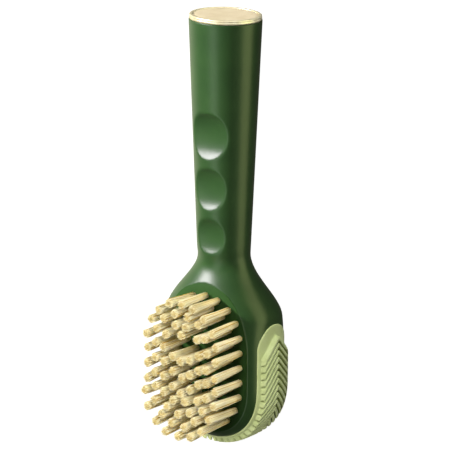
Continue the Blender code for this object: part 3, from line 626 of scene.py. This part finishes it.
bristleStraw = cutBristle("naturalBristle", bristleLook)
for number, name in enumerate(list(bristlePieces)[:tufts["rings"]]):
    radius = tufts["outerRadius"] * (1.0 - number / tufts["rings"])
    startShare = tufts["oddStart"] if number % 2 else 0.0
    makeTufts(name, ringPlaces(radius, startShare), tufts["ringSeed"] + number, bristleStraw)
makeTufts("bristleCentreRow", rowPlaces(), tufts["rowSeed"], bristleStraw)
print("bristles made")

# Rubber scrubber: a band round the head's side with chevron ribs. Its ribHeight keeps the crests a hair inside the
# solid's box, and the lanes across it are closest where the ribs end and the edges are rounded
band = {
    "halfHeight": 11.5, "centreOut": -1.0, "topUp": 60.8, "proud": 0.5, "sunk": 0.6, "edgeRound": 0.5,
    "edgeShare": 0.35, "ribHeight": 2.298, "ribPitch": 3.41, "firstRib": 6.4, "ribHalfSpan": 10.5,
    "ribCentreOut": -1.8, "ribEnd": 0.45, "apexRound": 0.2, "middleGap": 0.4, "middleEnd": 0.4,
    "leadIn": 2.4, "leadBlend": 2.0, "railStart": 10.1, "railEnd": 0.3, "railLead": 0.6,
    "tongueShare": 0.42, "rowStep": 0.35, "rowGap": 0.2, "toeSteps": 400,
    "lowLanes": (11.5, 11.47, 11.4, 11.3, 11.15, 11.05, 10.95, 10.85), "innerLanes": (-10.4, 8.91, 0.45),
    "highLanes": (9.25, 9.4, 9.55, 9.7, 9.9, 10.4, 10.8, 11.0, 11.15, 11.3, 11.4, 11.47, 11.5),
    # a rib from one foot over its crest to the next one's: offset from its middle, and share of its height
    "crestHalf": 0.72,
    "ribProfile": ((-1.3, 0.0), (-1.2, 0.30), (-1.04, 0.74), (-0.93, 0.93), (-0.72, 1.0), (0.0, 1.0), (0.72, 1.0),
                   (0.93, 0.93), (1.04, 0.74), (1.2, 0.30), (1.3, 0.0), (1.705, 0.0)),
}
band["straight"] = band["topUp"] - body["headCentreUp"]


# turns of the head's end and the distance round it to each: the sum of the chords of its path
def toeDistances():
    turns = np.linspace(0.0, math.pi / 2, band["toeSteps"])
    path = toePoint(body["headHalfWidth"], turns, 0.0) / mm
    chords = np.linalg.norm(np.diff(path, axis=0), axis=1)
    return turns, np.concatenate([[0.0], np.cumsum(chords)])


toeTurns, toeReached = toeDistances()
band["total"] = band["straight"] + toeReached[-1]


# a point of the band: the body's half width plus the height down the straight side, and past it the head's end
def bandPoint(down, out, proud):
    up = band["topUp"] - np.minimum(down, band["straight"])
    side = place(sideHalfWidth(up, out) + proud, up, out)
    reach = sideHalfWidth(np.full_like(out, body["headCentreUp"]), out)
    turn = np.interp(np.maximum(down - band["straight"], 0.0), toeReached, toeTurns)
    return np.where((down <= band["straight"])[..., None], side, toePoint(reach, turn, out, proud))


# rows down the band, with the rib's share of the height at each: the tongue's tip, plain rows, and the profile of
# each rib. The first rib's foot and slope are drawn forward to leadIn times their distance from its crest
def bandRows():
    ribs = int((band["total"] - band["firstRib"]) / band["ribPitch"]) + 1
    centres = band["firstRib"] + band["ribPitch"] * np.arange(ribs)
    offsets, shares = (np.array(column) for column in zip(*band["ribProfile"]))
    ribRows = (centres[:, None] + offsets).ravel()
    leadShift = np.minimum(offsets + band["crestHalf"], 0.0) * (band["leadIn"] - 1.0)
    firstFoot = ribRows[0] + leadShift[0] - band["rowGap"]
    plainRows = np.arange(-band["halfHeight"] * band["tongueShare"], firstFoot, band["rowStep"])
    plain = np.zeros(1 + len(plainRows))
    rows = np.concatenate([[-band["halfHeight"]], plainRows, ribRows])
    shifts = np.concatenate([plain, leadShift, np.zeros(len(ribRows) - len(leadShift))])
    return rows, shifts, np.concatenate([plain, np.tile(shares, ribs)])


# lanes across the band from the back edge to the front one, each edge doubled for the foot that is sunk in the body
def bandLanes():
    lanes = np.concatenate([-np.array(band["lowLanes"]), np.arange(*band["innerLanes"]), band["highLanes"]])
    return np.concatenate([lanes[:1], lanes, lanes[-1:]])


# rows follow the chevrons: down = row + sqrt(arm ** 2 + a ** 2) - a, where arm is the way from their apex line, held
# inside the tongue's round top and the middle of the head's end. Height = band, rounded at its edge, + rib profile of
# the row where the ribs reach, or the rail along the back edge. The front arm alone has the lead-in
def makeScrubber(material):
    size, apex = band["halfHeight"], band["apexRound"]
    rows, shifts, shares = bandRows()
    row, lane = np.meshgrid(rows, bandLanes(), indexing="ij")
    arm = lane + band["centreOut"] - band["ribCentreOut"]
    down = row + np.sqrt(arm ** 2 + apex ** 2) - apex + shifts[:, None] * smoothStep(arm / band["leadBlend"])
    tongue = size - np.sqrt(np.maximum(size ** 2 - lane ** 2, 0.0))
    down = np.clip(down, tongue, band["total"])
    edge = np.where(down < size, size - np.hypot(lane, size - down), size - np.abs(lane))
    soft = np.minimum(np.maximum(edge, 0.0) / band["edgeRound"], 1.0)
    rounded = np.sqrt(1.0 - (1.0 - soft) ** 2)
    height = band["proud"] * (band["edgeShare"] + (1.0 - band["edgeShare"]) * rounded)
    reach = smoothStep((band["ribHalfSpan"] - np.abs(arm)) / band["ribEnd"])
    stop = smoothStep((band["total"] - band["middleGap"] - down) / band["middleEnd"])
    rail = smoothStep((-lane - band["railStart"]) / band["railEnd"]) * (row > band["firstRib"] - band["railLead"])
    height = height + band["ribHeight"] * np.maximum(shares[:, None], rail) * reach * stop
    height[:, [0, -1]] = -band["sunk"]
    height[0] = -band["sunk"]
    right = bandPoint(down, lane + band["centreOut"], height)
    left = right[::-1] * np.array([-1.0, 1.0, 1.0])
    dress(skin("sideScrubber", np.concatenate([right, left])), material, "side_scrubber")


# Moulded thermoplastic rubber: matt, slightly mottled, with a soft bloom on the crests. Its grain is drawn 0.5 mm
# coarse, because the real one is too fine to show
rubberLook = {
    "noises": [(6.0, 4.0), (0.5, 4.0)], "colours": [(0.3, "#A6B074"), (0.7, "#B4BD86")],
    "roughness": (0.48, 0.66), "bump": (0.3, 0.04),
    "sockets": {"Specular IOR Level": 0.3, "Sheen Weight": 0.12, "Sheen Roughness": 0.5},
}
makeScrubber(patternedFinish("mouldedSageRubber", rubberLook))
print("scrubber made")

# End cap: gold ring, cream disc and the plug behind them
cap = {
    "ringInset": 0.2, "ringWidth": 1.6, "lift": 0.15, "outerRound": 0.6, "innerRound": 0.3, "roundSteps": 7,
    "grooveUp": 1.15, "grooveDepth": 0.14, "grooveMouth": 0.25, "grooveFloor": 0.1, "turns": 144,
    "discLow": 0.35, "discThickness": 0.9, "gap": 0.1, "discShares": (0.0, 0.3, 0.6, 0.85),
    "discRound": 0.25, "discChamfer": 0.08,
}


# rows of half width, half depth and height carried round an oval: (w cos t, d sin t)
def ovalSkin(name, profile, closeRows=False):
    turn = np.linspace(0.0, 2.0 * math.pi, cap["turns"], endpoint=False)
    points = np.stack([place(wide * np.cos(turn), up, deep * np.sin(turn)) for wide, deep, up in profile])
    return skin(name, points, closeRows)


# the profile is (shift from the outer wall, up): the wall with its groove, a quarter circle to the top, another down
# to the inner wall, and back along the base
def makeCapRing(material):
    wide, deep = body["gripHalfWidth"] - cap["ringInset"], body["gripHalfDepth"] - cap["ringInset"]
    low, high = body["skinEnd"] + cap["lift"], brush["length"]
    groove, outer, inner = low + cap["grooveUp"], cap["outerRound"], cap["innerRound"]
    quarter = np.linspace(0.0, math.pi / 2, cap["roundSteps"])
    profile = [(0.0, low), (0.0, groove - cap["grooveMouth"]), (-cap["grooveDepth"], groove - cap["grooveFloor"]),
               (-cap["grooveDepth"], groove + cap["grooveFloor"]), (0.0, groove + cap["grooveMouth"]),
               (0.0, high - outer)]
    profile += [(-outer * (1.0 - math.cos(q)), high - outer * (1.0 - math.sin(q))) for q in quarter]
    profile += [(-cap["ringWidth"] + inner * (1.0 - math.sin(q)), high - inner * (1.0 - math.cos(q)))
                for q in quarter]
    profile += [(-cap["ringWidth"], low)]
    ring = ovalSkin("capRing", [(wide + shift, deep + shift, up) for shift, up in profile], closeRows=True)
    dress(ring, material, "cap_ring")


# a flat top in rings, a softened edge, the wall and the underside
def makeCapDisc(material):
    inset = cap["ringInset"] + cap["ringWidth"] + cap["gap"]
    wide, deep = body["gripHalfWidth"] - inset, body["gripHalfDepth"] - inset
    top = brush["length"] - cap["discLow"]
    under = top - cap["discThickness"]
    edge, chamfer = cap["discRound"], cap["discChamfer"]
    rows = [(share * wide, share * deep, top) for share in cap["discShares"]]
    rows += [(wide - edge, deep - edge, top), (wide - chamfer, deep - chamfer, top - chamfer),
             (wide, deep, top - edge), (wide, deep, under), (0.0, 0.0, under)]
    dress(ovalSkin("capDisc", rows), material, "cap_disc")


# Vacuum-metallised gold trim: a bright film over plastic, with faint handling wear in its gloss
goldLook = {"noises": [(3.0, 5.0)], "colours": [(0.3, "#DACFA8"), (0.7, "#ECE4C6")], "roughness": (0.26, 0.40),
            "sockets": {"Metallic": 0.4}}
# Cream enamelled disc: warm off-white, low gloss, slightly cloudy
creamLook = {"noises": [(5.0, 3.0)], "colours": [(0.3, "#D6C6A4"), (0.7, "#E2D4B6")], "roughness": (0.34, 0.46),
             "sockets": {"IOR": 1.5}}
# The plug is the handle's ABS from a plainer mould, so it is less even in its gloss
plugLook = {**absLook, "roughness": (0.36, 0.46)}

makeCapRing(patternedFinish("metallisedGoldTrim", goldLook))
makeCapDisc(patternedFinish("creamEnamelDisc", creamLook))
plugPiece = frame["nodes"]["cap_plug"]
plugPiece.data.materials.clear()
plugPiece.data.materials.append(patternedFinish("mouldedPlugAbs", plugLook))
print("cap made")

# The lights named here reach only the pieces listed, so the pale pieces can be lit as brightly as in the photograph
# without washing out the green. All other lights reach everything
litPieces = {
    "key": ("handleBody", "tuftPlate", "sideScrubber", "capDisc", "capRing"),
    "frontFill": ("handleBody",),
    "tuftCard": tuple(bristlePieces),
    "tuftFill": tuple(bristlePieces),
    "bandCard": ("sideScrubber",),
    "capCard": ("capDisc", "capRing"),
    "toeCard": ("sideScrubber",),
}


def shareLights():
    for light, names in litPieces.items():
        reached = bpy.data.collections.new(light + "Pieces")
        for name in names:
            reached.objects.link(bpy.data.objects[name])
        bpy.data.objects[light].light_linking.receiver_collection = reached


shareLights()
print("lights shared out")
